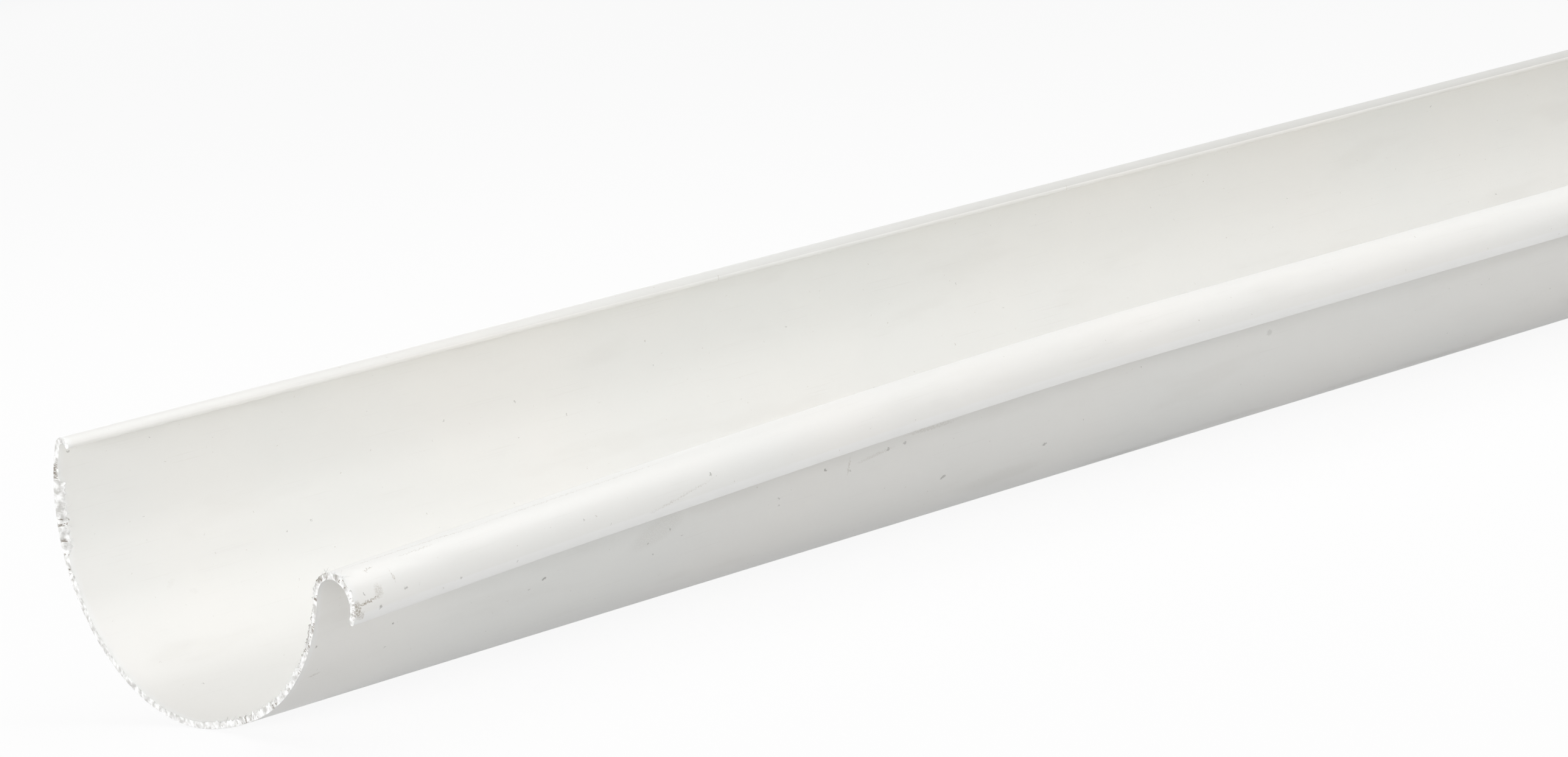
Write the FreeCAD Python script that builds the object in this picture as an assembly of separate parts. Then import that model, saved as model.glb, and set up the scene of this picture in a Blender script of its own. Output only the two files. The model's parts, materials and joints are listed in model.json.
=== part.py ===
import FreeCAD, Part
import math
import os

# One length of half-round rainwater gutter, extruded in rigid PVC and sawn off at both ends.
# All sizes are in millimetres and all angles in degrees.
#
# The section is one wall of even thickness that runs through three tangent curves:
#   rear lip    a small curl that turns inwards over the trough
#   trough      a little more than half a circle
#   front bead  a hook that turns outwards and down, open underneath
#
# At the near end the gutter has sprung open. A band of the wall, low on the front side, has lost
# some of its curve there, most of it at the saw cut and none beyond SPLAY_LENGTH. The wall and the
# bead above that band keep their shape, and swing outwards and down as they come to the cut.
#
# Section frame: the origin is the trough's centre, u points to the front and v points up, as the
# gutter hangs. Angles are counter-clockwise from u.
# Part frame: X runs along the gutter away from the near end, -Y is the front (bead) side, +Z is up,
# and Z = 0 is the floor that the gutter lies on.

# Driving dimensions
LENGTH = 2000.0          # sold length
TROUGH_DIAMETER = 125.0  # outside, the nominal size
WALL = 2.1
BEAD_DIAMETER = 20.0     # outside
BEAD_ANGLE = 4.1         # where the trough turns into the bead, about the trough's centre
BEAD_END_ANGLE = -23.0   # where the bead's free edge stops, about the bead's centre
LIP_DIAMETER = 7.8       # outside
LIP_ANGLE = 166.2        # where the trough turns into the lip, about the trough's centre
LIP_END_ANGLE = 38.0     # where the lip's free edge stops, about the lip's centre
SPLAY_START = -74.0      # the lower edge of the band that has lost its curve, about the trough's centre
SPLAY_STOP = -51.0       # the band's upper edge
SPLAY_ANGLE = 9.7        # the turn that the band has lost at the near end
SPLAY_LENGTH = 365.0
SPLAY_EASING = 1.5       # 1 would open the wall in proportion to the distance
SPLAY_STATIONS = 5       # sections that shape the sprung front

# Sizes that follow from them
NEAR_END = -LENGTH / 2
SPLAY_END = NEAR_END + SPLAY_LENGTH
TROUGH_RADIUS = TROUGH_DIAMETER / 2
BEAD_RADIUS = BEAD_DIAMETER / 2
LIP_RADIUS = LIP_DIAMETER / 2
TROUGH_CENTRE = (0.0, 0.0)


def polar(centre, radius, angle):
    """Return the section point at a radius and an angle from a centre."""
    turn = math.radians(angle)
    return (centre[0] + radius * math.cos(turn), centre[1] + radius * math.sin(turn))


def arc(x, centre, radius, start, end):
    """Return one arc of the section at a place along the gutter."""
    points = [polar(centre, radius, angle) for angle in (start, (start + end) / 2, end)]
    return Part.Arc(*[FreeCAD.Vector(x, -u, v) for u, v in points]).toShape()


def joint(x, start, end):
    """Return the straight line across the wall where the rear and the front of the section meet."""
    points = [polar(TROUGH_CENTRE, radius, SPLAY_START) for radius in (start, end)]
    return Part.makeLine(*[FreeCAD.Vector(x, -u, v) for u, v in points])


def splay_at(x):
    """Return the turn that the band has lost at a place along the gutter."""
    closeness = max(0.0, (SPLAY_END - x) / SPLAY_LENGTH)
    return SPLAY_ANGLE * closeness ** SPLAY_EASING


def rear_wire(x):
    """Return the section of the lip and the rear and bottom of the trough."""
    inner_radius = TROUGH_RADIUS - WALL
    lip = polar(TROUGH_CENTRE, TROUGH_RADIUS - LIP_RADIUS, LIP_ANGLE)
    lip_edge = polar(lip, LIP_RADIUS - WALL / 2, LIP_END_ANGLE)
    return Part.Wire([
        arc(x, lip, LIP_RADIUS, LIP_END_ANGLE, LIP_ANGLE),
        arc(x, TROUGH_CENTRE, TROUGH_RADIUS, LIP_ANGLE - 360, SPLAY_START),
        joint(x, TROUGH_RADIUS, inner_radius),
        arc(x, TROUGH_CENTRE, inner_radius, SPLAY_START, LIP_ANGLE - 360),
        arc(x, lip, LIP_RADIUS - WALL, LIP_ANGLE, LIP_END_ANGLE),
        arc(x, lip_edge, WALL / 2, LIP_END_ANGLE - 180, LIP_END_ANGLE),
    ])


def front_wire(x):
    """Return the section of the front wall and the bead, as far open as it is at x."""
    # The band keeps its length, so the turn it has lost makes its radius larger.
    full_turn = SPLAY_STOP - SPLAY_START
    band_radius = TROUGH_RADIUS * full_turn / (full_turn - splay_at(x))
    band = polar(TROUGH_CENTRE, TROUGH_RADIUS - band_radius, SPLAY_START)
    band_end = SPLAY_STOP - splay_at(x)
    wall = polar(band, band_radius - TROUGH_RADIUS, band_end)
    wall_end = BEAD_ANGLE - splay_at(x)
    bead = polar(wall, TROUGH_RADIUS - WALL + BEAD_RADIUS, wall_end)
    bead_edge = polar(bead, BEAD_RADIUS - WALL / 2, BEAD_END_ANGLE)
    return Part.Wire([
        arc(x, band, band_radius, SPLAY_START, band_end),
        arc(x, wall, TROUGH_RADIUS, band_end, wall_end),
        arc(x, bead, BEAD_RADIUS - WALL, wall_end + 180, BEAD_END_ANGLE),
        arc(x, bead_edge, WALL / 2, BEAD_END_ANGLE - 180, BEAD_END_ANGLE),
        arc(x, bead, BEAD_RADIUS, BEAD_END_ANGLE, wall_end + 180),
        arc(x, wall, TROUGH_RADIUS - WALL, wall_end, band_end),
        arc(x, band, band_radius - WALL, band_end, SPLAY_START),
        joint(x, TROUGH_RADIUS - WALL, TROUGH_RADIUS),
    ])


def extruded(wire, length):
    """Return a section's solid over a length of the gutter."""
    return Part.Face(wire).extrude(FreeCAD.Vector(length, 0, 0))


def sprung_front():
    """Return the front where it has sprung open, lofted through its stations."""
    step = SPLAY_LENGTH / (SPLAY_STATIONS - 1)
    stations = [front_wire(NEAR_END + step * number) for number in range(SPLAY_STATIONS)]
    return Part.makeLoft(stations, True, False, False, SPLAY_STATIONS - 1)


def lie_on_floor(solid):
    """Roll the gutter until its weight hangs under the trough's centre, and set it on Z = 0."""
    weight = solid.CenterOfMass
    roll = math.degrees(math.atan2(-weight.y, -weight.z))
    solid.rotate(FreeCAD.Vector(0, 0, 0), FreeCAD.Vector(1, 0, 0), roll)
    box = solid.optimalBoundingBox()
    lift = FreeCAD.Vector(0, -box.Center.y, -box.ZMin)
    solid.translate(lift)
    print("rolled", round(roll, 3), "degrees, trough centre at Y", round(lift.y, 3), "Z", round(lift.z, 3))
    return solid


def gutter_section():
    """Return the whole gutter as one solid, lying on the floor."""
    rear = extruded(rear_wire(NEAR_END), LENGTH)
    straight_front = extruded(front_wire(SPLAY_END), LENGTH - SPLAY_LENGTH)
    whole = rear.fuse([sprung_front(), straight_front]).removeSplitter()
    return lie_on_floor(whole.Solids[0])


os.makedirs("parts", exist_ok=True)
gutter_section().exportStep("parts/gutter_section.step")
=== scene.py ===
"""Half-round rainwater gutter section in white rigid PVC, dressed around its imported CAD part.

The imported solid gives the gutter's place and size. One smooth mesh stands for it here, with the
torn saw cuts, the waver of the extrusion and the wear that are too fine for the solid. It lies on
a pale floor under soft lamps.
"""

from __future__ import annotations

import json
import logging
import math
import random
from dataclasses import dataclass, field
from enum import Enum

import bmesh
import bpy
from mathutils import Matrix, Vector, noise

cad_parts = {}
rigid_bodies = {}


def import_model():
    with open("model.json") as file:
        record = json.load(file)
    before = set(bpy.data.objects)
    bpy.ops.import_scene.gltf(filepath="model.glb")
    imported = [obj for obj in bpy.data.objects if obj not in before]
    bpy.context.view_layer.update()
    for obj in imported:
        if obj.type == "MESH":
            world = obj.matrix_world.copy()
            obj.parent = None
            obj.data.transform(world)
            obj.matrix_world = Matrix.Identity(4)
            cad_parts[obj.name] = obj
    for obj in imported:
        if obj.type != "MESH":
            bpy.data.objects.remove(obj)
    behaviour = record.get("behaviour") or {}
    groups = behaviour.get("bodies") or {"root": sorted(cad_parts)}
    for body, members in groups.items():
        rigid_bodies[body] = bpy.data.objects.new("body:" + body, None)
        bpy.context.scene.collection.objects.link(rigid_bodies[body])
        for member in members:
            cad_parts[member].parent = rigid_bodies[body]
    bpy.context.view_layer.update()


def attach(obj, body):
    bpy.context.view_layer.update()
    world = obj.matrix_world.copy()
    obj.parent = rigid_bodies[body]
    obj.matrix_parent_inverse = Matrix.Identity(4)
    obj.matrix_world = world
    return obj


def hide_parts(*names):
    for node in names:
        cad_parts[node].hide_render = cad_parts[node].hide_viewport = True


LOG = logging.getLogger("gutter")
MM = 0.001
NODE = "gutter_section"


class Side(Enum):
    """The two faces of the gutter's wall."""

    WATER = -1.0
    WEATHER = 1.0


@dataclass(frozen=True)
class Bend:
    """One arc of the section, along the middle of the wall.

    Sizes are in millimetres and angles in degrees. `hand` is 1 where the wall's weather side is on
    the outside of the arc, and -1 where it is on the inside.
    """

    centre: Vector
    radius: float
    start: float
    stop: float
    hand: float

    def at(self, share: float, depth: float) -> Vector:
        """Find a point of the wall.

        Args:
            share: How far along the arc, from 0 to 1.
            depth: Distance from the wall's middle towards the weather side.

        Returns:
            The point in the section frame.
        """
        turn = math.radians(self.start + (self.stop - self.start) * share)
        reach = self.radius + self.hand * depth
        return self.centre + reach * Vector((math.cos(turn), math.sin(turn)))

    def heading(self, share: float) -> Vector:
        """Return the unit direction in which the arc runs at a share of its length."""
        turn = math.radians(self.start + (self.stop - self.start) * share)
        way = math.copysign(1.0, self.stop - self.start)
        return way * Vector((-math.sin(turn), math.cos(turn)))

    def length(self) -> float:
        """Return the arc's length in millimetres."""
        return abs(math.radians(self.stop - self.start)) * self.radius


def polar(centre: Vector, radius: float, angle: float) -> Vector:
    """Return the point at a radius and an angle in degrees from a centre."""
    turn = math.radians(angle)
    return centre + radius * Vector((math.cos(turn), math.sin(turn)))


@dataclass
class GutterProfile:
    """The gutter's section and how it changes along the length, in millimetres and degrees.

    The section frame has its origin at the trough's centre, with u to the front and v up.
    """

    trough_radius: float = 62.5
    wall: float = 2.1
    bead_radius: float = 10.0
    bead_angle: float = 4.1
    bead_end_angle: float = -23.0
    lip_radius: float = 3.9
    lip_angle: float = 166.2
    lip_end_angle: float = 38.0
    splay_start: float = -74.0
    splay_stop: float = -51.0
    splay_angle: float = 9.7
    splay_length: float = 365.0
    splay_easing: float = 1.5
    bead_end_waver: float = 2.0
    waver_length: float = 90.0

    def splay_at(self, along: float) -> float:
        """Return the turn that the front has lost at a distance from the near end."""
        closeness = max(0.0, 1.0 - along / self.splay_length)
        return self.splay_angle * closeness**self.splay_easing

    def bends(self, along: float) -> list[Bend]:
        """List the arcs of the section from the lip's free edge to the bead's free edge.

        Args:
            along: Distance from the near end.

        Returns:
            The arcs, in order.
        """
        half = self.wall / 2
        origin = Vector((0.0, 0.0))
        lost = self.splay_at(along)
        lip = polar(origin, self.trough_radius - self.lip_radius, self.lip_angle)
        turn = self.splay_stop - self.splay_start
        band_radius = self.trough_radius * turn / (turn - lost)
        band = polar(origin, self.trough_radius - band_radius, self.splay_start)
        band_stop = self.splay_stop - lost
        wall = polar(band, band_radius - self.trough_radius, band_stop)
        wall_stop = self.bead_angle - lost
        bead = polar(wall, self.trough_radius - self.wall + self.bead_radius, wall_stop)
        waver = noise.noise(Vector((along / self.waver_length, 3.7, 0.0)))
        edge = self.bead_end_angle + self.bead_end_waver * waver
        return [
            Bend(lip, self.lip_radius - half, self.lip_end_angle, self.lip_angle, 1),
            Bend(origin, self.trough_radius - half, self.lip_angle, self.splay_start + 360, 1),
            Bend(band, band_radius - half, self.splay_start + 360, band_stop + 360, 1),
            Bend(wall, self.trough_radius - half, band_stop + 360, wall_stop + 360, 1),
            Bend(bead, self.bead_radius - half, wall_stop + 180, edge, -1),
        ]


def ease(low: float, high: float, value: float) -> float:
    """Follow a smooth rise from 0 to 1, or a fall where `high` lies below `low`.

    Args:
        low: The value at which the result is 0.
        high: The value at which the result is 1.
        value: The value to follow.

    Returns:
        The result, which stays at 0 and 1 outside the two values.
    """
    share = min(1.0, max(0.0, (value - low) / (high - low)))
    return share * share * (3.0 - 2.0 * share)


@dataclass(frozen=True)
class SawCut:
    """The torn face that a coarse saw leaves on one end of the gutter, in millimetres.

    `around` is a distance round the wall from the lip's free edge. `through` runs from -1 on the
    water side to 1 on the weather side. The saw tore the wall worst between `burr_start` and the
    bead, and between `break_start` and `rear_stop`, where it also broke a strip out of the wall.
    """

    grain: float
    fuzz: float
    chip: float
    burr: float
    seed: float
    break_out: float = 0.0
    break_start: float = 17.0
    break_stop: float = 45.0
    rear_stop: float = 64.0
    burr_start: float = 126.0
    burr_stop: float = 226.0
    hook_start: float = 230.0
    hook_chipping: float = 1.8
    reach: float = 10.0
    curl_reach: float = 0.5

    def ripple(self, around: float, across: float) -> float:
        """Return this cut's own unevenness at a place, from about -1 to 1."""
        return noise.noise(Vector((around, across, self.seed)))

    def recess(self, around: float, through: float) -> float:
        """Find how far the torn face lies behind the true end.

        Args:
            around: Distance round the wall.
            through: Place in the wall's thickness.

        Returns:
            The depth of the recess.
        """
        rough = self.roughness_at(around) * ease(1.3, -0.1, through)
        grain = self.grain * rough * (0.5 + 0.5 * self.ripple(around / 1.3, through * 1.6))
        fuzz = self.fuzz * rough * (0.5 + 0.5 * self.ripple(around / 0.5 + 50.0, through * 2.5))
        side = 11.0 if through > 0 else 23.0
        edge = ease(0.35, 1.0, abs(through))
        edge *= self.hook_chipping if around > self.hook_start else 1.0
        nick = max(0.0, 1.4 * self.ripple(around / 1.7 + side, 2.0) + 0.1)
        chip = self.chip * rough * edge * nick
        broken = ease(self.break_start, self.break_start + 3.0, around)
        broken *= ease(self.break_stop, self.break_stop - 5.0, around)
        broken *= 0.75 + 0.5 * self.ripple(around / 1.1, 7.0)
        broken *= self.break_out * ease(0.7, -0.8, through)
        return grain + fuzz + chip + broken

    def roughness_at(self, around: float) -> float:
        """Find how badly the saw tore the wall.

        Args:
            around: Distance round the wall.

        Returns:
            The roughness, from almost 0 to 1.
        """
        front = ease(self.burr_start, self.burr_start + 18.0, around)
        rear = ease(self.break_start - 8.0, self.break_start, around)
        rear *= ease(self.rear_stop, self.rear_stop - 10.0, around)
        rough = 0.22 + 0.8 * max(front, rear) + 0.5 * self.ripple(around / 7.0, 9.0)
        return min(1.0, max(0.12, rough))

    def burr_at(self, around: float) -> float:
        """Find how far the burr stands off the wall towards the water.

        Args:
            around: Distance round the wall.

        Returns:
            The height of the burr.
        """
        zone = ease(self.burr_start, self.burr_start + 15.0, around)
        zone *= ease(self.burr_stop, self.burr_stop - 8.0, around)
        ragged = max(0.0, self.ripple(around / 0.8 + 70.0, 5.0) + 0.15)
        return self.burr * (0.1 + 0.9 * zone) * ragged

    def tear(self, around: float, through: float, gap: float) -> tuple[float, float]:
        """Find how the tearing moves a point near the cut.

        Args:
            around: Distance round the wall.
            through: Place in the wall's thickness.
            gap: Distance from the true end.

        Returns:
            The shift into the gutter's length, and the shift through the wall.
        """
        if gap >= self.reach:
            return 0.0, 0.0
        shift = self.recess(around, through) * (1.0 - gap / self.reach) ** 2
        curl = self.burr_at(around) * math.exp(-gap / self.curl_reach)
        return shift, -curl * ((1.0 - through) / 2) ** 3


@dataclass(frozen=True)
class Swarf:
    """The shreds of plastic that the saw left hanging on the water side's edge, in millimetres."""

    count: int = 64
    seed: int = 41
    thickest: float = 0.15
    shortest: float = 0.5
    longest: float = 1.7
    steepest_lean: float = 0.9
    rooted: float = 0.1
    sides: int = 5
    cuts: int = 3
    places: tuple[tuple[float, float, float], ...] = (
        (138.0, 200.0, 0.62),
        (218.0, 236.0, 0.28),
        (17.0, 60.0, 0.1),
    )

    def pick(self, dice: random.Random) -> float:
        """Pick a place for one shred.

        Args:
            dice: The source of chance.

        Returns:
            The distance round the wall.
        """
        chance = dice.random()
        for start, stop, share in self.places:
            if chance < share:
                return dice.uniform(start, stop)
            chance -= share
        return dice.uniform(*self.places[0][:2])

    def shred(self, body: bmesh.types.BMesh, dice: random.Random) -> list[bmesh.types.BMVert]:
        """Make one shred that stands on its root and leans over towards its tip.

        Args:
            body: The mesh that gets the shred.
            dice: The source of the shred's size and lean.

        Returns:
            The shred's vertices, in millimetres, with the root at the origin.
        """
        start = len(body.verts)
        tall = dice.uniform(self.shortest, self.longest)
        thick = self.thickest * dice.uniform(0.45, 1.0)
        bmesh.ops.create_cone(
            body, cap_ends=True, segments=self.sides, radius1=thick, radius2=thick / 5, depth=tall
        )
        body.verts.ensure_lookup_table()
        rising = {
            edge
            for vert in body.verts[start:]
            for edge in vert.link_edges
            if abs(edge.verts[0].co.z - edge.verts[1].co.z) > tall / 2
        }
        bmesh.ops.subdivide_edges(body, edges=list(rising), cuts=self.cuts)
        body.verts.ensure_lookup_table()
        verts = body.verts[start:]
        leans = [dice.uniform(-self.steepest_lean, self.steepest_lean) for _ in range(2)]
        lean = Vector((*leans, 0.0)) * tall
        for vert in verts:
            rise = vert.co.z / tall + 0.5
            vert.co.z = tall * (rise - self.rooted)
            vert.co += lean * rise**2
        return verts


@dataclass
class GutterSection:
    """The whole gutter as one closed mesh. Sizes are in millimetres and the roll in degrees.

    The mesh starts as a flat slab whose coordinates count steps: x round the section, y through
    the wall and z along the gutter. Forming then moves each vertex to its place.
    """

    profile: GutterProfile = field(default_factory=GutterProfile)
    near_cut: SawCut = SawCut(grain=0.26, fuzz=0.14, chip=0.55, burr=1.3, seed=5.3, break_out=2.9)
    far_cut: SawCut = SawCut(grain=0.16, fuzz=0.1, chip=0.3, burr=0.25, seed=31.7)
    swarf: Swarf = Swarf()
    length: float = 2000.0
    roll: float = 10.933
    centre_y: float = 12.663
    centre_z: float = 62.5
    reach_y: float = 75.16
    steps_round: tuple[int, ...] = (14, 84, 16, 40, 42)
    steps_through: int = 10
    first_step: float = 0.3
    step_growth: float = 1.34
    longest_step: float = 25.0
    longest_straight_step: float = 60.0
    fine_stations: int = 5
    fine_cuts: int = 3
    step_tolerance: float = 0.01
    shred_depth: float = 0.12

    def stations(self) -> list[float]:
        """List the places of the mesh's rings, which stand close together at the cuts.

        Returns:
            Their distances from the near end.
        """
        near: list[float] = [0.0]
        step = self.first_step
        while near[-1] < self.profile.splay_length:
            near.append(near[-1] + step)
            step = min(step * self.step_growth, self.longest_step)
        far: list[float] = [self.length]
        step = self.first_step
        while far[-1] - near[-1] > self.longest_straight_step:
            far.append(far[-1] - step)
            step = min(step * self.step_growth, self.longest_straight_step)
        return near + far[::-1]

    def build(self) -> bpy.types.Object:
        """Build the gutter's mesh object in its place on the floor.

        Returns:
            The object, at the origin, with its place in its mesh.
        """
        body = self.slab()
        self.unroll_map(body)
        self.form(body)
        self.hang_swarf(body)
        bmesh.ops.recalc_face_normals(body, faces=body.faces)
        for face in body.faces:
            face.smooth = True
        for edge in body.edges:
            edge.smooth = len({face.material_index for face in edge.link_faces}) == 1
        mesh = bpy.data.meshes.new("gutter_body")
        body.to_mesh(mesh)
        body.free()
        piece = bpy.data.objects.new("gutter_body", mesh)
        bpy.context.scene.collection.objects.link(piece)
        LOG.info("gutter_body: %d faces", len(mesh.polygons))
        return piece

    def slab(self) -> bmesh.types.BMesh:
        """Make the flat slab that is formed into the gutter.

        Returns:
            The closed slab, in steps, with finer faces near both ends.
        """
        around = sum(self.steps_round)
        slab = bmesh.new()
        bmesh.ops.create_grid(slab, x_segments=around, y_segments=self.steps_through, size=0.5)
        grown = bmesh.ops.extrude_face_region(slab, geom=slab.faces[:])
        moved = [item for item in grown["geom"] if isinstance(item, bmesh.types.BMVert)]
        bmesh.ops.translate(slab, verts=moved, vec=(0.0, 0.0, 1.0))
        spans = len(self.stations()) - 1
        rising = [edge for edge in slab.edges if abs(edge.verts[0].co.z - edge.verts[1].co.z) > 0.5]
        bmesh.ops.subdivide_edges(slab, edges=rising, cuts=spans - 1, use_grid_fill=True)
        for vert in slab.verts:
            vert.co = Vector(((vert.co.x + 0.5) * around, vert.co.y * 2.0, vert.co.z * spans))
        fine_stop = self.fine_stations + 0.5
        fine = [
            edge
            for edge in slab.edges
            if abs(edge.verts[0].co.x - edge.verts[1].co.x) > 0.5
            and not fine_stop < edge.verts[0].co.z < spans - fine_stop
        ]
        bmesh.ops.subdivide_edges(slab, edges=fine, cuts=self.fine_cuts, use_grid_fill=True)
        return slab

    def unroll_map(self, slab: bmesh.types.BMesh) -> None:
        """Give the slab its flat map in metres, and its torn ends their own finish.

        On the skin the map runs along the gutter and round the wall, with the distance round
        taken as negative on the water side. On the ends it runs through the wall and round it.

        Args:
            slab: The flat slab, in steps.
        """
        stations = self.stations()
        layer = slab.loops.layers.uv.new("unrolled")
        half = self.profile.wall / 2
        for face in slab.faces:
            middle = face.calc_center_median()
            is_end = all(round(vert.co.z) == round(middle.z) for vert in face.verts)
            face.material_index = 1 if is_end else 0
            side = Side.WEATHER if middle.y > 0 else Side.WATER
            for loop in face.loops:
                count, through, station = loop.vert.co
                along = stations[round(station)]
                around = self.distance(self.profile.bends(0.0), count)
                if is_end:
                    loop[layer].uv = (through * half * MM, around * MM)
                else:
                    loop[layer].uv = (along * MM, around * side.value * MM)

    def form(self, slab: bmesh.types.BMesh) -> None:
        """Move every vertex of the slab to its place on the gutter.

        Args:
            slab: The flat slab, in steps.
        """
        stations = self.stations()
        half = self.profile.wall / 2
        total = sum(self.steps_round)
        bends_at: dict[int, list[Bend]] = {}
        for vert in slab.verts:
            count, through, station = vert.co
            ring = round(station)
            along = stations[ring]
            if ring not in bends_at:
                bends_at[ring] = self.profile.bends(along)
            bends = bends_at[ring]
            around = self.distance(bends, count)
            sunk, curled = self.near_cut.tear(around, through, along)
            risen, lifted = self.far_cut.tear(around, through, self.length - along)
            depth = half * math.sin(through * math.pi / 2)
            place = self.on_wall(bends, count, depth + curled + lifted)
            rounding = math.sqrt(max(0.0, half**2 - depth**2))
            if count < self.step_tolerance:
                place -= bends[0].heading(0.0) * rounding
            elif count > total - self.step_tolerance:
                place += bends[-1].heading(1.0) * rounding
            vert.co = self.lay(along + sunk - risen, place)

    def hang_swarf(self, body: bmesh.types.BMesh) -> None:
        """Hang the shreds on the near cut's edge.

        Args:
            body: The formed gutter, in metres.
        """
        dice = random.Random(self.swarf.seed)
        bends = self.profile.bends(0.0)
        half = self.profile.wall / 2
        for _ in range(self.swarf.count):
            around = self.swarf.pick(dice)
            count = self.count_at(bends, around)
            verts = self.swarf.shred(body, dice)
            through = dice.uniform(-1.0, -0.7)
            sunk, curled = self.near_cut.tear(around, through, 0.0)
            root = self.on_wall(bends, count, half * through + curled)
            tip = self.on_wall(bends, count, half * through + curled - 1.0)
            up = (tip - root).normalized()
            side = Vector((-up.y, up.x))
            slope = dice.uniform(0.1, 0.9)
            for vert in verts:
                spot = root + side * vert.co.x + up * vert.co.z
                along = sunk + self.shred_depth + abs(vert.co.y) + vert.co.z * slope
                vert.co = self.lay(along, spot)
            for face in {face for vert in verts for face in vert.link_faces}:
                face.material_index = 1

    def distance(self, bends: list[Bend], count: float) -> float:
        """Find the distance round the wall from the lip's free edge.

        Args:
            bends: The section's arcs at that place along the gutter.
            count: Steps from the lip's free edge.

        Returns:
            The distance round the wall.
        """
        total = 0.0
        for bend, steps in zip(bends, self.steps_round):
            share = min(1.0, max(0.0, count / steps))
            total += bend.length() * share
            count -= steps
        return total

    def count_at(self, bends: list[Bend], around: float) -> float:
        """Find the count of steps round the wall from the lip's free edge.

        Args:
            bends: The section's arcs at that place along the gutter.
            around: Distance round the wall.

        Returns:
            The count of steps, with its fraction.
        """
        count = 0.0
        for bend, steps in zip(bends, self.steps_round):
            share = min(1.0, max(0.0, around / bend.length()))
            count += steps * share
            around -= bend.length()
        return count

    def on_wall(self, bends: list[Bend], count: float, depth: float) -> Vector:
        """Find the section point at a count of steps round the wall.

        Args:
            bends: The section's arcs at that place along the gutter.
            count: Steps from the lip's free edge.
            depth: Distance from the wall's middle towards the weather side.

        Returns:
            The point in the section frame.
        """
        for bend, steps in zip(bends, self.steps_round):
            if count <= steps + 1e-6:
                return bend.at(count / steps, depth)
            count -= steps
        return bends[-1].at(1.0, depth)

    def lay(self, along: float, place: Vector) -> Vector:
        """Turn a section point into the row frame and keep it inside the CAD box.

        Args:
            along: Distance from the near end.
            place: The point in the section frame.

        Returns:
            The point in metres.
        """
        roll = math.radians(self.roll)
        y = -place.x * math.cos(roll) - place.y * math.sin(roll) + self.centre_y
        z = -place.x * math.sin(roll) + place.y * math.cos(roll) + self.centre_z
        along = min(self.length, max(0.0, along))
        y = min(self.reach_y, max(-self.reach_y, y))
        return Vector((along - self.length / 2, y, z)) * MM


@dataclass
class Wiring:
    """A node tree, with short ways to add nodes and join them."""

    tree: bpy.types.NodeTree

    def add(
        self, kind: str, values: dict[str | int, object] | None = None, **settings: object
    ) -> bpy.types.Node:
        """Add a node.

        Args:
            kind: The node's type.
            values: Plain values or sockets for its inputs, by name or by number.
            **settings: The node's own settings.

        Returns:
            The new node.
        """
        node = self.tree.nodes.new(kind)
        for name, setting in settings.items():
            setattr(node, name, setting)
        for key, value in (values or {}).items():
            if isinstance(value, bpy.types.NodeSocket):
                self.tree.links.new(value, node.inputs[key])
            else:
                node.inputs[key].default_value = value
        return node

    def math(self, operation: str, *values: object) -> bpy.types.NodeSocket:
        """Add a Math node and return its result."""
        return self.add("ShaderNodeMath", dict(enumerate(values)), operation=operation).outputs[0]

    def vector(self, operation: str, *values: object) -> bpy.types.NodeSocket:
        """Add a Vector Math node and return its vector."""
        node = self.add("ShaderNodeVectorMath", dict(enumerate(values)), operation=operation)
        return node.outputs[0]

    def ramp(
        self, value: object, low: float, high: float, start: float = 0.0, stop: float = 1.0
    ) -> bpy.types.NodeSocket:
        """Add a smooth Map Range node that is clamped at both ends.

        Args:
            value: The socket to map.
            low: The value that gives `start`.
            high: The value that gives `stop`.
            start: The result at `low`.
            stop: The result at `high`.

        Returns:
            The mapped value.
        """
        given = {"Value": value, "From Min": low, "From Max": high, "To Min": start, "To Max": stop}
        return self.add("ShaderNodeMapRange", given, interpolation_type="SMOOTHSTEP").outputs[0]

    def noise(
        self, place: object, waves: float, detail: float = 1.0, flat: bool = True
    ) -> bpy.types.Node:
        """Add a Noise Texture node.

        Args:
            place: The socket with the place on the surface.
            waves: How many waves there are in one unit of the place.
            detail: How many finer layers the noise has.
            flat: Whether the place is on the flat map, not in space.

        Returns:
            The new node.
        """
        given = {"Vector": place, "Scale": waves, "Detail": detail}
        return self.add("ShaderNodeTexNoise", given, noise_dimensions="2D" if flat else "3D")

    def effect(self, group: bpy.types.NodeTree, **given: object) -> bpy.types.NodeSocket:
        """Place a node group with its own values and return its result."""
        return self.add("ShaderNodeGroup", given, node_tree=group).outputs[0]

    def shake(
        self, flat: bpy.types.NodeSocket, waves: float, detail: float, reach: float
    ) -> bpy.types.NodeSocket:
        """Shift a flat map unevenly, so that what lies on it gets a ragged outline.

        Args:
            flat: The flat map, in metres.
            waves: How many waves of the shift there are in a metre.
            detail: How many finer layers the shift has.
            reach: The longest shift, in metres.

        Returns:
            The shifted map.
        """
        uneven = self.noise(flat, waves, detail).outputs["Color"]
        spread = (2.0 * reach, 2.0 * reach, 0.0)
        shift = self.vector("MULTIPLY_ADD", uneven, spread, (-reach, -reach, 0.0))
        return self.vector("ADD", flat, shift)

    def mix(self, mask: object, first: object, second: object) -> bpy.types.NodeSocket:
        """Add a Mix node for colours.

        Args:
            mask: The share of the second colour, from 0 to 1.
            first: The colour where the mask is 0.
            second: The colour where the mask is 1.

        Returns:
            The mixed colour.
        """
        values = {0: mask, 6: first, 7: second}
        return self.add("ShaderNodeMix", values, data_type="RGBA").outputs[2]


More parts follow.
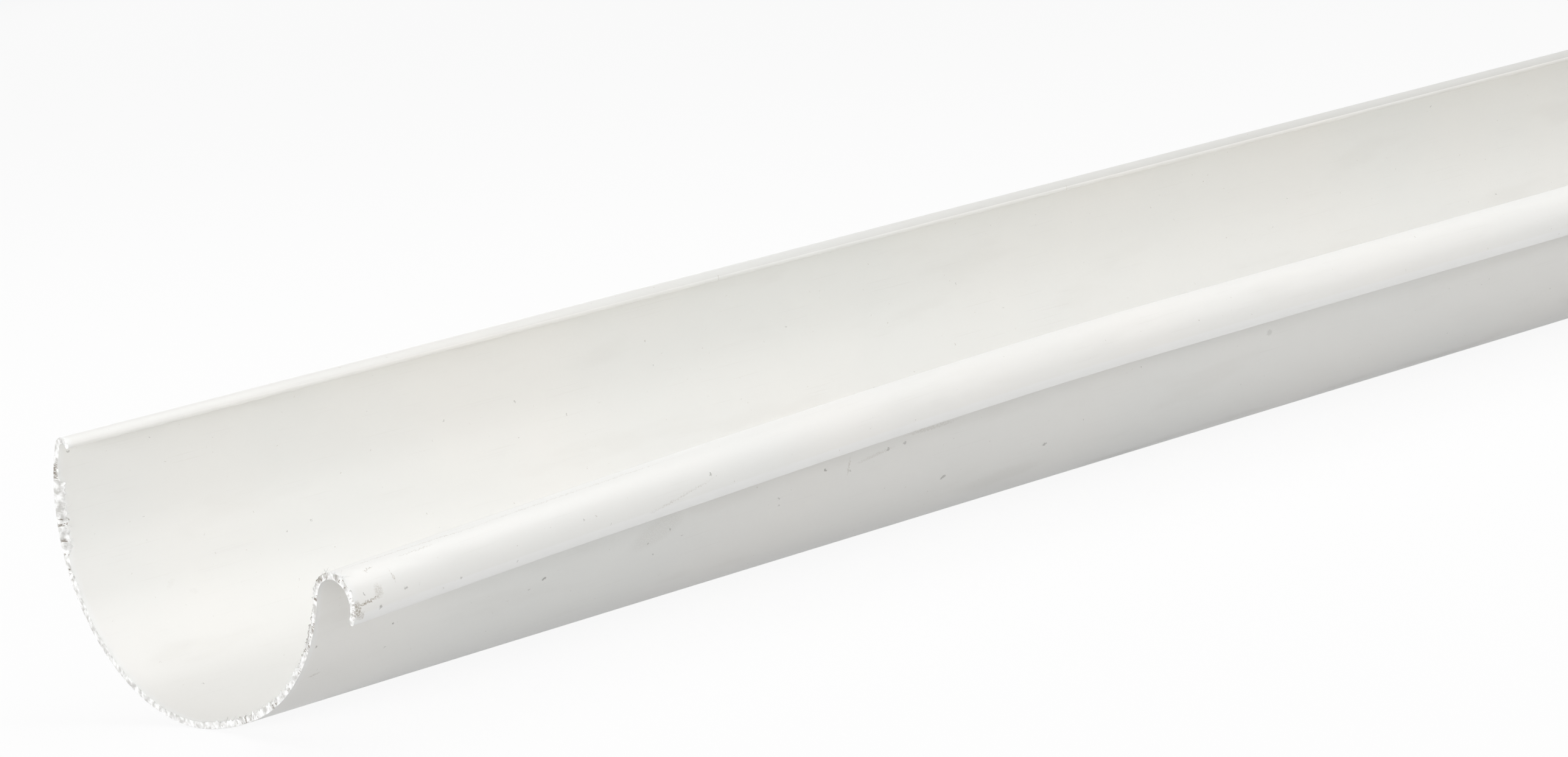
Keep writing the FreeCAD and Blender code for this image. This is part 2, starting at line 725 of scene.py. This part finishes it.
@dataclass
class FinishKit:
    """The effects that the finishes share, each one a node group."""

    mark: bpy.types.NodeTree = field(init=False)
    specks: bpy.types.NodeTree = field(init=False)
    mottle: bpy.types.NodeTree = field(init=False)

    def __post_init__(self) -> None:
        """Build the groups."""
        self.mark = self.build_mark()
        self.specks = self.build_specks()
        self.mottle = self.build_mottle()

    def start(
        self, name: str, inputs: dict[str, str], output: str
    ) -> tuple[Wiring, bpy.types.Node, bpy.types.Node]:
        """Start a node group.

        Args:
            name: The group's name.
            inputs: The kind of each input socket, by name.
            output: The name of the value that the group puts out.

        Returns:
            The group's wiring, its input node and its output node.
        """
        tree = bpy.data.node_groups.new(name, "ShaderNodeTree")
        for socket, kind in inputs.items():
            tree.interface.new_socket(socket, in_out="INPUT", socket_type=f"NodeSocket{kind}")
        tree.interface.new_socket(output, in_out="OUTPUT", socket_type="NodeSocketFloat")
        wiring = Wiring(tree)
        return wiring, wiring.add("NodeGroupInput"), wiring.add("NodeGroupOutput")

    def build_mark(self) -> bpy.types.NodeTree:
        """Build the group for one oval mark at a given place on a flat map.

        Returns:
            The group, which puts out the mark's mask.
        """
        kinds = dict.fromkeys(("Map", "Place", "Scale"), "Vector")
        kinds |= dict.fromkeys(("Turn", "Strength"), "Float")
        wiring, entry, result = self.start("mark", kinds, "Mask")
        given = entry.outputs
        moved = wiring.vector("SUBTRACT", given["Map"], given["Place"])
        turn = {"Vector": moved, "Angle": given["Turn"]}
        turned = wiring.add("ShaderNodeVectorRotate", turn, rotation_type="Z_AXIS").outputs[0]
        scaled = wiring.vector("MULTIPLY", turned, given["Scale"])
        reach = wiring.add("ShaderNodeVectorMath", {0: scaled}, operation="LENGTH").outputs["Value"]
        mask = wiring.math("MULTIPLY", wiring.ramp(reach, 1.25, 0.6), given["Strength"])
        wiring.tree.links.new(mask, result.inputs[0])
        return wiring.tree

    def build_specks(self) -> bpy.types.NodeTree:
        """Build the group for scattered specks of uneven size.

        Returns:
            The group, which puts out the specks' mask.
        """
        kinds = {"Map": "Vector", "Spacing": "Float", "Size": "Float", "Share": "Float"}
        wiring, entry, result = self.start("specks", kinds, "Mask")
        given = entry.outputs
        grid = {"Vector": given["Map"], "Scale": given["Spacing"]}
        cells = wiring.add("ShaderNodeTexVoronoi", grid, voronoi_dimensions="2D").outputs
        chance = wiring.add("ShaderNodeSeparateColor", {0: cells["Color"]}).outputs
        kept = wiring.math("LESS_THAN", chance[0], given["Share"])
        size = wiring.math("MULTIPLY", given["Size"], wiring.ramp(chance[1], 0.0, 1.0, 0.35, 1.0))
        inside = wiring.ramp(wiring.math("DIVIDE", cells["Distance"], size), 1.0, 0.55)
        wiring.tree.links.new(wiring.math("MULTIPLY", kept, inside), result.inputs[0])
        return wiring.tree

    def build_mottle(self) -> bpy.types.NodeTree:
        """Build the group for cloudy unevenness.

        Returns:
            The group, which puts out a value from 0 to 1.
        """
        kinds = {"Map": "Vector", "Spacing": "Float", "Low": "Float", "High": "Float"}
        wiring, entry, result = self.start("mottle", kinds, "Value")
        given = entry.outputs
        haze = wiring.noise(given["Map"], given["Spacing"], 2.0, False).outputs[0]
        limits = {"Value": haze, "From Min": given["Low"], "From Max": given["High"]}
        spread = wiring.add("ShaderNodeMapRange", limits)
        wiring.tree.links.new(spread.outputs[0], result.inputs[0])
        return wiring.tree


@dataclass(frozen=True)
class Mark:
    """One oval mark of use, in millimetres, with `turn` in degrees from the gutter's length.

    Its middle is at `along` from the near end and `around` from the lip's free edge.
    """

    along: float
    around: float
    long: float
    wide: float
    strength: float
    turn: float = 0.0
    side: Side = Side.WEATHER

    def mask(
        self, wiring: Wiring, kit: FinishKit, flat: bpy.types.NodeSocket
    ) -> bpy.types.NodeSocket:
        """Add this mark's node group to a finish.

        Args:
            wiring: The finish's nodes.
            kit: The shared effects.
            flat: The flat map, in metres.

        Returns:
            The mark's mask.
        """
        return wiring.effect(
            kit.mark,
            Map=flat,
            Place=(self.along * MM, self.around * self.side.value * MM, 0.0),
            Scale=(1.0 / (self.long * MM), 1.0 / (self.wide * MM), 0.0),
            Turn=-math.radians(self.turn),
            Strength=self.strength,
        )


def gather(
    marks: tuple[Mark, ...], wiring: Wiring, kit: FinishKit, flat: bpy.types.NodeSocket
) -> bpy.types.NodeSocket:
    """Add a set of marks to a finish.

    Args:
        marks: The marks.
        wiring: The finish's nodes.
        kit: The shared effects.
        flat: The flat map, in metres.

    Returns:
        The mask of them all.
    """
    mask = marks[0].mask(wiring, kit, flat)
    for mark in marks[1:]:
        mask = wiring.math("MAXIMUM", mask, mark.mask(wiring, kit, flat))
    return mask


@dataclass(frozen=True)
class Specks:
    """Specks scattered by chance over a flat map.

    There are `cells` cells in a metre. A `share` of them has a speck, whose largest radius is
    `size` of a cell and whose mask rises to `depth`.
    """

    cells: float
    size: float
    share: float
    depth: float

    def mask(
        self, wiring: Wiring, kit: FinishKit, flat: bpy.types.NodeSocket
    ) -> bpy.types.NodeSocket:
        """Add the specks to a finish.

        Args:
            wiring: The finish's nodes.
            kit: The shared effects.
            flat: The flat map, in metres.

        Returns:
            The specks' mask.
        """
        given = {"Map": flat, "Spacing": self.cells, "Size": self.size, "Share": self.share}
        return wiring.math("MULTIPLY", wiring.effect(kit.specks, **given), self.depth)


Colour = tuple[float, float, float, float]
Triple = tuple[float, float, float]


@dataclass(frozen=True)
class ExtrudedSkin:
    """The satin skin of the extruded PVC, with its die lines, flecks, scuffs and handling marks,
    painted shade on the lip and a painted highlight on the hook's free edge.

    Lengths are in millimetres. The waves of a pattern are counted in a metre of the flat map,
    along the gutter and round the wall.
    """

    warm_white: Colour = (0.9, 0.887, 0.856, 1.0)
    cool_white: Colour = (0.868, 0.869, 0.846, 1.0)
    # Paler white, both for real strain whitening at the cut and for a painted highlight along the
    # hook's rounded free edge.
    strain_and_highlight_white: Colour = (0.91, 0.91, 0.9, 1.0)
    # Painted shade on the lip: a grey laid over the lip's band, deepening along the length where
    # the light falls off.
    lip_painted_shade: Colour = (0.66, 0.655, 0.63, 1.0)
    lip_shade_width: float = 15.0
    lip_shade_fade: float = 4.0
    lip_shade_length: float = 600.0
    grime: Colour = (0.085, 0.072, 0.048, 1.0)
    scuff_brown: Colour = (0.36, 0.31, 0.24, 1.0)
    pvc_index: float = 1.53
    satin: float = 0.34
    fleck_depth: float = 0.5
    smear_depth: float = 0.035
    scratch_depth: float = 0.05
    # How far the strain whitening and the painted highlight on the hook's edge pale the skin.
    strain_and_highlight_depth: float = 0.7
    # The band of painted highlight where the hook's rounded free edge catches the light.
    rim_highlight_start: float = 246.6
    rim_highlight_stop: float = 250.6
    stressed_length: float = 2.8
    cloud_waves: float = 9.0
    peel_waves: float = 650.0
    line_waves: Triple = (3.0, 900.0, 0.0)
    scratch_waves: Triple = (26.0, 2300.0, 0.0)
    smear_waves: Triple = (14.0, 60.0, 0.0)
    relief: float = 0.02
    dust: Specks = Specks(cells=95.0, size=0.034, share=0.07, depth=0.55)
    grains: Specks = Specks(cells=420.0, size=0.1, share=0.03, depth=0.35)
    wall_flecks: tuple[Mark, ...] = (
        Mark(33.7, 199.0, 0.5, 0.42, 0.9),
        Mark(97.2, 196.2, 0.78, 0.62, 1.0),
        Mark(2.9, 200.3, 0.5, 0.4, 0.8),
        Mark(141.8, 196.5, 0.5, 0.4, 0.8),
        Mark(145.9, 190.9, 0.35, 0.3, 0.6),
        Mark(157.0, 195.1, 0.4, 0.32, 0.6),
        Mark(150.4, 199.6, 0.45, 0.4, 0.7),
        Mark(112.4, 185.8, 0.35, 0.3, 0.6),
        Mark(91.7, 193.5, 0.35, 0.3, 0.6),
        Mark(34.3, 189.0, 0.35, 0.3, 0.6),
        Mark(219.4, 202.8, 0.65, 0.55, 1.0),
        Mark(199.8, 197.3, 0.55, 0.45, 0.6),
        Mark(200.8, 194.1, 0.45, 0.4, 0.5),
        Mark(248.6, 203.0, 0.8, 0.6, 0.6),
        Mark(256.5, 203.3, 0.9, 0.65, 0.6),
        Mark(282.4, 181.9, 1.2, 0.8, 0.8, 30.0),
        Mark(331.4, 182.5, 1.0, 0.8, 0.7),
        Mark(437.5, 203.3, 1.5, 1.1, 0.3),
    )
    bead_flecks: tuple[Mark, ...] = (
        Mark(149.9, 242.0, 0.45, 0.4, 0.9, side=Side.WATER),
        Mark(21.1, 244.2, 0.6, 0.5, 0.8, side=Side.WATER),
        Mark(4.8, 242.0, 0.4, 0.35, 0.8, side=Side.WATER),
        Mark(10.6, 246.8, 0.55, 0.5, 0.9, side=Side.WATER),
        Mark(42.8, 246.8, 0.4, 0.35, 0.6, side=Side.WATER),
        Mark(66.3, 248.0, 0.45, 0.35, 0.6, side=Side.WATER),
    )
    trough_flecks: tuple[Mark, ...] = (
        Mark(36.1, 11.7, 0.4, 0.35, 0.6, side=Side.WATER),
        Mark(3.8, 8.9, 0.45, 0.4, 0.7, side=Side.WATER),
        Mark(20.7, 102.9, 0.4, 0.35, 0.6, side=Side.WATER),
    )
    scuffs: tuple[Mark, ...] = (
        Mark(5.6, 244.2, 4.6, 0.34, 0.85, 6.4, Side.WATER),
        Mark(1.1, 245.4, 1.4, 2.4, 0.75, 0.0, Side.WATER),
        Mark(2.6, 247.6, 1.4, 1.3, 0.4, 0.0, Side.WATER),
        Mark(10.4, 242.4, 1.6, 2.0, 0.3, 0.0, Side.WATER),
        Mark(10.8, 235.2, 2.0, 0.26, 0.55, 8.0, Side.WATER),
        Mark(17.4, 239.7, 2.2, 0.24, 0.4, -84.0, Side.WATER),
        Mark(31.0, 232.3, 28.0, 0.2, 0.3, -2.6, Side.WATER),
        Mark(98.0, 233.1, 46.0, 0.17, 0.22, 0.0, Side.WATER),
        Mark(31.0, 234.6, 7.0, 0.24, 0.3, 0.0, Side.WATER),
        Mark(136.0, 245.5, 14.0, 0.24, 0.25, 8.0, Side.WATER),
        Mark(230.8, 200.9, 3.7, 0.35, 0.3, 93.0),
        Mark(145.0, 200.5, 11.0, 5.0, 0.1, 18.0),
        Mark(243.0, 202.3, 8.0, 0.6, 0.2, 6.0),
        Mark(268.4, 205.9, 12.0, 0.7, 0.2),
        Mark(7.0, 186.7, 2.2, 0.5, 0.3, 10.0),
        Mark(34.0, 61.5, 2.6, 0.9, 0.05, 35.0, Side.WATER),
        Mark(41.0, 66.0, 1.8, 1.0, 0.045, -20.0, Side.WATER),
    )

    def material(self, kit: FinishKit) -> bpy.types.Material:
        """Build the skin's material.

        Args:
            kit: The shared effects.

        Returns:
            The material.
        """
        material = bpy.data.materials.new("extruded_skin")
        material.use_nodes = True
        wiring = Wiring(material.node_tree)
        shader = material.node_tree.nodes["Principled BSDF"]
        shader.inputs["IOR"].default_value = self.pvc_index
        flat = wiring.add("ShaderNodeUVMap", uv_map="unrolled").outputs[0]
        masks = self.wear(wiring, kit, flat)
        wiring.tree.links.new(self.tone(wiring, kit, flat, masks), shader.inputs["Base Color"])

        satin = wiring.math("MULTIPLY_ADD", masks["lines"], 0.1, self.satin - 0.05)
        satin = wiring.math("MULTIPLY_ADD", masks["smear"], 0.08, satin)
        satin = wiring.math("MULTIPLY_ADD", masks["scuffs"], 0.3, satin)
        satin = wiring.math("MULTIPLY_ADD", masks["flecks"], 0.3, satin)
        wiring.tree.links.new(satin, shader.inputs["Roughness"])

        peel = wiring.noise(flat, self.peel_waves).outputs[0]
        height = wiring.math("MULTIPLY_ADD", masks["lines"], 0.6, peel)
        height = wiring.math("MULTIPLY_ADD", masks["scratches"], -1.2, height)
        given = {"Strength": 0.6, "Distance": self.relief * MM, "Height": height}
        bump = wiring.add("ShaderNodeBump", given)
        wiring.tree.links.new(bump.outputs[0], shader.inputs["Normal"])
        return material

    def wear(
        self, wiring: Wiring, kit: FinishKit, flat: bpy.types.NodeSocket
    ) -> dict[str, bpy.types.NodeSocket]:
        """Add the masks of the die lines and the wear.

        Args:
            wiring: The finish's nodes.
            kit: The shared effects.
            flat: The flat map, in metres.

        Returns:
            The masks of the flecks, scuffs, scratches, smear and lines, by name.
        """
        ragged = wiring.shake(flat, 1100.0, 2.0, 0.0008)
        fleck_marks = self.wall_flecks + self.bead_flecks + self.trough_flecks
        flecks = gather(fleck_marks, wiring, kit, ragged)
        flecks = wiring.math("MAXIMUM", flecks, self.dust.mask(wiring, kit, ragged))
        grit = wiring.ramp(wiring.noise(flat, 1900.0, 2.0).outputs[0], 0.42, 0.56, 0.3, 1.0)
        scuffs = wiring.math("MULTIPLY", gather(self.scuffs, wiring, kit, ragged), grit)
        scuffs = wiring.math("MAXIMUM", scuffs, self.grains.mask(wiring, kit, ragged))
        streaks = {
            name: wiring.noise(wiring.vector("MULTIPLY", flat, waves), 1.0, detail).outputs[0]
            for name, waves, detail in (
                ("lines", self.line_waves, 2.0),
                ("scratches", self.scratch_waves, 1.0),
                ("smear", self.smear_waves, 3.0),
            )
        }
        return {
            "flecks": flecks,
            "scuffs": scuffs,
            "scratches": wiring.ramp(streaks["scratches"], 0.73, 0.8),
            "smear": wiring.ramp(streaks["smear"], 0.58, 0.76),
            "lines": streaks["lines"],
        }

    def tone(
        self,
        wiring: Wiring,
        kit: FinishKit,
        flat: bpy.types.NodeSocket,
        masks: dict[str, bpy.types.NodeSocket],
    ) -> bpy.types.NodeSocket:
        """Add the skin's colour, with painted shade that darkens the lip more towards the far end,
        a painted highlight along the hook's free edge, and paler strained plastic at the near cut.

        Args:
            wiring: The finish's nodes.
            kit: The shared effects.
            flat: The flat map, in metres.
            masks: The masks of the wear, by name.

        Returns:
            The colour.
        """
        split = wiring.add("ShaderNodeSeparateXYZ", {0: flat}).outputs
        along, around = split["X"], split["Y"]
        # Painted shade: the lip on the weather side is greyed, more towards the far end, to stand
        # in for the light falling off there.
        weather = wiring.math("GREATER_THAN", around, 0.0)
        lip = wiring.ramp(around, self.lip_shade_width * MM, (self.lip_shade_width - self.lip_shade_fade) * MM)
        shade_with_length = wiring.ramp(along, 0.0, self.lip_shade_length * MM, 0.2, 0.9)
        painted_lip_shade = wiring.math("MULTIPLY", wiring.math("MULTIPLY", weather, lip), shade_with_length)

        # Painted highlight: a pale band along the hook's rounded free edge, where it catches the
        # light. It is joined with the real strain whitening near the cut.
        rim_highlight_in = wiring.ramp(around, -self.rim_highlight_start * MM, -(self.rim_highlight_start + 0.7) * MM)
        rim_highlight_out = wiring.ramp(around, -self.rim_highlight_stop * MM, -(self.rim_highlight_stop - 0.6) * MM)
        edge = wiring.math("MULTIPLY", rim_highlight_in, rim_highlight_out)
        stressed = wiring.ramp(along, self.stressed_length * MM, 0.4 * MM)
        strain_and_highlight = wiring.math("MULTIPLY", wiring.math("MAXIMUM", edge, stressed), self.strain_and_highlight_depth)

        solid = wiring.add("ShaderNodeTexCoord").outputs["Object"]
        cloud = wiring.effect(kit.mottle, Map=solid, Spacing=self.cloud_waves, Low=0.35, High=0.65)
        tone = wiring.mix(cloud, self.cool_white, self.warm_white)
        tone = wiring.mix(painted_lip_shade, tone, self.lip_painted_shade)
        tone = wiring.mix(strain_and_highlight, tone, self.strain_and_highlight_white)
        for name, depth in (("smear", self.smear_depth), ("scratches", self.scratch_depth)):
            tone = wiring.mix(wiring.math("MULTIPLY", masks[name], depth), tone, self.scuff_brown)
        tone = wiring.mix(masks["scuffs"], tone, self.scuff_brown)
        flecks = wiring.math("MULTIPLY", masks["flecks"], self.fleck_depth)
        return wiring.mix(flecks, tone, self.grime)


@dataclass(frozen=True)
class SawnFace:
    """The rough white face that the saw tore through the wall, with dirt caught in it.

    Places are distances round the wall in millimetres. In the marks, `along` is the place in the
    wall's thickness, from its middle towards the weather side.
    """

    frost: Colour = (0.76, 0.76, 0.755, 1.0)
    grey: Colour = (0.47, 0.465, 0.45, 1.0)
    dirt: Colour = (0.15, 0.125, 0.095, 1.0)
    pvc_index: float = 1.53
    torn_start: float = 132.0
    torn_stop: float = 256.0
    rear_start: float = 24.0
    rear_stop: float = 62.0
    tooth_waves: Triple = (420.0, 1700.0, 0.0)
    relief: float = 0.18
    grains: Specks = Specks(cells=800.0, size=0.48, share=0.36, depth=0.8)
    dirt_marks: tuple[Mark, ...] = (
        Mark(0.2, 15.5, 1.1, 3.4, 0.85),
        Mark(-0.5, 226.0, 0.9, 4.0, 0.7),
        Mark(-0.2, 233.0, 0.7, 1.5, 0.5),
        Mark(-0.8, 204.0, 0.45, 12.0, 0.55),
        Mark(-0.5, 198.5, 0.5, 0.7, 1.0),
        Mark(0.5, 207.5, 0.7, 1.6, 0.75),
        Mark(-0.6, 245.5, 0.8, 3.5, 0.6),
    )

    def material(self, kit: FinishKit) -> bpy.types.Material:
        """Build the sawn face's material.

        Args:
            kit: The shared effects.

        Returns:
            The material.
        """
        material = bpy.data.materials.new("sawn_face")
        material.use_nodes = True
        wiring = Wiring(material.node_tree)
        shader = material.node_tree.nodes["Principled BSDF"]
        shader.inputs["IOR"].default_value = self.pvc_index
        flat = wiring.add("ShaderNodeUVMap", uv_map="unrolled").outputs[0]
        solid = wiring.add("ShaderNodeTexCoord").outputs["Object"]
        cloud = wiring.effect(kit.mottle, Map=solid, Spacing=480.0, Low=0.36, High=0.62)
        teeth = wiring.noise(wiring.vector("MULTIPLY", flat, self.tooth_waves), 1.0, 2.0).outputs[0]

        around = wiring.add("ShaderNodeSeparateXYZ", {0: flat}).outputs["Y"]
        front = self.zone(wiring, around, self.torn_start, self.torn_stop)
        rear = self.zone(wiring, around, self.rear_start, self.rear_stop)
        patchy = wiring.ramp(wiring.noise(flat, 130.0).outputs[0], 0.3, 0.6, 0.3, 1.0)
        torn = wiring.math("MULTIPLY_ADD", wiring.math("MAXIMUM", front, rear), patchy, 0.12)

        ragged = wiring.shake(flat, 2600.0, 1.0, 0.0006)
        grains = wiring.math("MULTIPLY", self.grains.mask(wiring, kit, ragged), torn)
        marks = gather(self.dirt_marks, wiring, kit, flat)
        caught = wiring.math("MULTIPLY", marks, wiring.ramp(teeth, 0.38, 0.58))
        tone = wiring.mix(cloud, self.grey, self.frost)
        tone = wiring.mix(wiring.math("MAXIMUM", grains, caught), tone, self.dirt)
        wiring.tree.links.new(tone, shader.inputs["Base Color"])
        wiring.tree.links.new(wiring.ramp(cloud, 0.0, 1.0, 0.92, 0.72), shader.inputs["Roughness"])

        crumbs = wiring.noise(solid, 2000.0, 2.0, False).outputs[0]
        height = wiring.math("MULTIPLY_ADD", teeth, 0.7, crumbs)
        given = {"Strength": 0.7, "Distance": self.relief * MM, "Height": height}
        bump = wiring.add("ShaderNodeBump", given)
        wiring.tree.links.new(bump.outputs[0], shader.inputs["Normal"])
        return material

    def zone(
        self, wiring: Wiring, around: bpy.types.NodeSocket, start: float, stop: float
    ) -> bpy.types.NodeSocket:
        """Add a soft mask of a stretch of the wall.

        Args:
            wiring: The finish's nodes.
            around: The distance round the wall, in metres.
            start: Where the stretch begins.
            stop: Where it ends.

        Returns:
            The mask.
        """
        rise = wiring.ramp(around, start * MM, (start + 10.0) * MM)
        return wiring.math("MULTIPLY", rise, wiring.ramp(around, stop * MM, (stop - 5.0) * MM))


@dataclass(frozen=True)
class SoftBox:
    """One soft lamp. Places and sizes are in metres, power in watts."""

    name: str
    place: Triple
    wide: float
    deep: float
    power: float

    def hang(self, aim: Vector) -> None:
        """Hang the lamp so that it faces a point.

        Args:
            aim: The point, in metres.
        """
        data = bpy.data.lights.new(self.name, "AREA")
        data.shape = "RECTANGLE"
        data.size = self.wide
        data.size_y = self.deep
        data.energy = self.power
        lamp = bpy.data.objects.new(self.name, data)
        lamp.location = self.place
        lamp.rotation_euler = (aim - Vector(self.place)).to_track_quat("-Z", "Y").to_euler()
        lamp.visible_camera = False
        bpy.context.scene.collection.objects.link(lamp)


@dataclass
class Studio:
    """The floor, the lamps, the world and the camera. Places are in metres in the row frame.

    The floor shows the share `shown_white` of pure white and the rest of its own `floor_white`,
    and sends the light on as a floor of the tone `floor_bounce`. The lens is in millimetres.
    """

    floor_reach: float = 40.0
    floor_white: float = 0.9
    floor_bounce: float = 0.8
    floor_roughness: float = 0.9
    shown_white: float = 0.92
    aim: Triple = (-0.75, 0.0, 0.05)
    stand: Triple = (-1.9992, -1.4224, 0.3662)
    look: Triple = (0.65083, 0.74232, -0.15934)
    upward: Triple = (0.20261, 0.03245, 0.97872)
    lens: float = 130.28
    film_width: float = 36.0
    farthest: float = 200.0
    lamps: tuple[SoftBox, ...] = (
        SoftBox("over_rear", (-0.4, 1.6, 1.8), 3.5, 1.2, 2.5),
        SoftBox("over_front", (-0.4, -1.6, 1.8), 3.5, 1.2, 3.0),
        SoftBox("over_strip", (-0.4, 0.1, 1.2), 3.0, 0.5, 17.4),
        SoftBox("near_end", (-3.4, -0.5, 0.45), 1.6, 0.8, 67.0),
        SoftBox("near_front", (-2.4, -2.0, 1.4), 1.6, 1.6, 4.2),
        SoftBox("front", (-0.6, -2.6, 0.7), 3.5, 1.0, 13.1),
        SoftBox("far_front", (1.6, -1.8, 1.2), 1.6, 1.6, 4.2),
        SoftBox("rear", (-0.4, 2.6, 0.7), 3.5, 1.0, 7.6),
        SoftBox("far_end", (1.8, 0.0, 1.6), 1.6, 2.4, 4.5),
    )

    def light(self) -> None:
        """Hang the lamps and set the world."""
        for lamp in self.lamps:
            lamp.hang(Vector(self.aim))
        world = bpy.data.worlds.new("studio")
        bpy.context.scene.world = world
        world.use_nodes = True
        wiring = Wiring(world.node_tree)
        backdrop = world.node_tree.nodes["Background"]
        tone = wiring.mix(self.seen(wiring), self.grey(0.0), self.grey(1.0))
        wiring.tree.links.new(tone, backdrop.inputs["Color"])

    def grey(self, level: float) -> Colour:
        """Return the grey of a level from 0, black, to 1, white."""
        return (level, level, level, 1.0)

    def seen(self, wiring: Wiring) -> bpy.types.NodeSocket:
        """Add a mask of the rays that show the backdrop, straight, in gloss or through glass.

        Args:
            wiring: The nodes of the floor or the world.

        Returns:
            The mask, which is 1 for those rays.
        """
        rays = wiring.add("ShaderNodeLightPath").outputs
        shown = wiring.math("MAXIMUM", rays["Is Camera Ray"], rays["Is Glossy Ray"])
        return wiring.math("MAXIMUM", shown, rays["Is Transmission Ray"])

    def floor(self) -> None:
        """Lay the floor, which shows almost white and keeps a faint shadow."""
        sheet = bmesh.new()
        bmesh.ops.create_grid(sheet, x_segments=1, y_segments=1, size=self.floor_reach)
        mesh = bpy.data.meshes.new("floor")
        sheet.to_mesh(mesh)
        sheet.free()
        floor = bpy.data.objects.new("floor", mesh)
        bpy.context.scene.collection.objects.link(floor)
        material = bpy.data.materials.new("floor")
        material.use_nodes = True
        wiring = Wiring(material.node_tree)
        shader = material.node_tree.nodes["Principled BSDF"]
        shader.inputs["Roughness"].default_value = self.floor_roughness
        seen = self.seen(wiring)
        tone = wiring.mix(seen, self.grey(self.floor_bounce), self.grey(self.floor_white))
        wiring.tree.links.new(tone, shader.inputs["Base Color"])
        glow = wiring.add("ShaderNodeEmission", {"Color": self.grey(1.0), "Strength": 1.0})
        share = wiring.math("MULTIPLY", seen, self.shown_white)
        shares = {0: share, 1: shader.outputs[0], 2: glow.outputs[0]}
        blend = wiring.add("ShaderNodeMixShader", shares)
        result = material.node_tree.nodes["Material Output"]
        wiring.tree.links.new(blend.outputs[0], result.inputs["Surface"])
        mesh.materials.append(material)

    def camera(self) -> None:
        """Stand the camera before the near end, at the gutter's front."""
        data = bpy.data.cameras.new("camera")
        data.lens = self.lens
        data.sensor_width = self.film_width
        data.clip_end = self.farthest
        camera = bpy.data.objects.new("camera", data)
        forward = Vector(self.look).normalized()
        right = forward.cross(Vector(self.upward)).normalized()
        upward = right.cross(forward)
        turn = Matrix((right, upward, -forward)).transposed().to_4x4()
        camera.matrix_world = Matrix.Translation(self.stand) @ turn
        bpy.context.scene.collection.objects.link(camera)
        bpy.context.scene.camera = camera


def main() -> None:
    """Build and dress the gutter, then light it."""
    logging.basicConfig(level=logging.INFO)
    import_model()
    kit = FinishKit()
    piece = GutterSection().build()
    piece.data.materials.append(ExtrudedSkin().material(kit))
    piece.data.materials.append(SawnFace().material(kit))
    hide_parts(NODE)
    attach(piece, "root")
    LOG.info("gutter_body stands for %s", NODE)
    studio = Studio()
    studio.floor()
    studio.light()
    studio.camera()
    bpy.context.scene.view_settings.view_transform = "Standard"
    LOG.info("studio and camera set")


if __name__ == "__main__":
    main()
